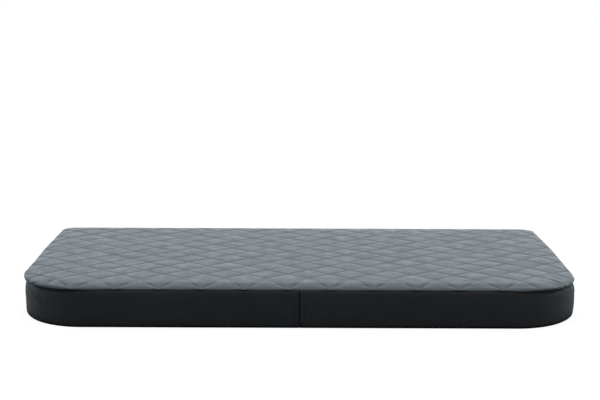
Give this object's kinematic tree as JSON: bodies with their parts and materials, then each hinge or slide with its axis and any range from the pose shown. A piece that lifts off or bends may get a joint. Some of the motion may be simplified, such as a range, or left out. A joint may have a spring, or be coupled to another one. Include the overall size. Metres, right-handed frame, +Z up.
{
  "type": "futon mattress",
  "caption": "Low rectangular futon mattress in a plain leatherette cover with a diamond-quilted top, wide front corners, side boxing and a zipped rear.",
  "frame": {"origin": "middle of the underside, on the surface that the mattress lies on", "axes": "+X along the long side, towards the closed end of the zip; +Y towards the rear, where the zip is; +Z up"},
  "size_m": [2, 1.2, 0.15],
  "materials": {
    "leatherette": "satin",
    "wadding": "matte",
    "nonwoven": "matte",
    "calico": "matte",
    "felt": "matte",
    "foam": "matte",
    "tape": "matte",
    "nylon": "satin",
    "zip_metal": "satin"
  },
  "bodies": {
    "mattress": {"top_face": "leatherette", "top_welt": "leatherette", "boxing_left": "leatherette", "boxing_right": "leatherette", "zip_panel_upper": "leatherette", "zip_panel_lower": "leatherette", "bottom_panel": "leatherette", "seam_tape": "tape", "quilt_backing": "nonwoven", "quilt_wadding": "wadding", "liner": "calico", "felt_lower": "felt", "felt_upper": "felt", "border_wadding": "wadding", "foam_core": "foam", "zip_tape_upper": "tape", "zip_tape_lower": "tape", "zip_coil_upper": "nylon", "zip_coil_lower": "nylon", "zip_stop_left": "zip_metal", "zip_stop_right": "zip_metal"},
    "slider": {"zip_slider": "zip_metal"},
    "pull": {"zip_pull": "zip_metal"}
  },
  "joints": [
    {"name": "zip_slide", "type": "slide", "parent": "mattress", "child": "slider", "axis": [1, 0, 0], "range_m": [-1.683, 0]},
    {"name": "pull_swing", "type": "hinge", "parent": "slider", "child": "pull", "pos_m": [0.8416, 0.5964, 0.067], "axis": [0, 0, 1], "range_deg": [0, 180]}
  ]
}
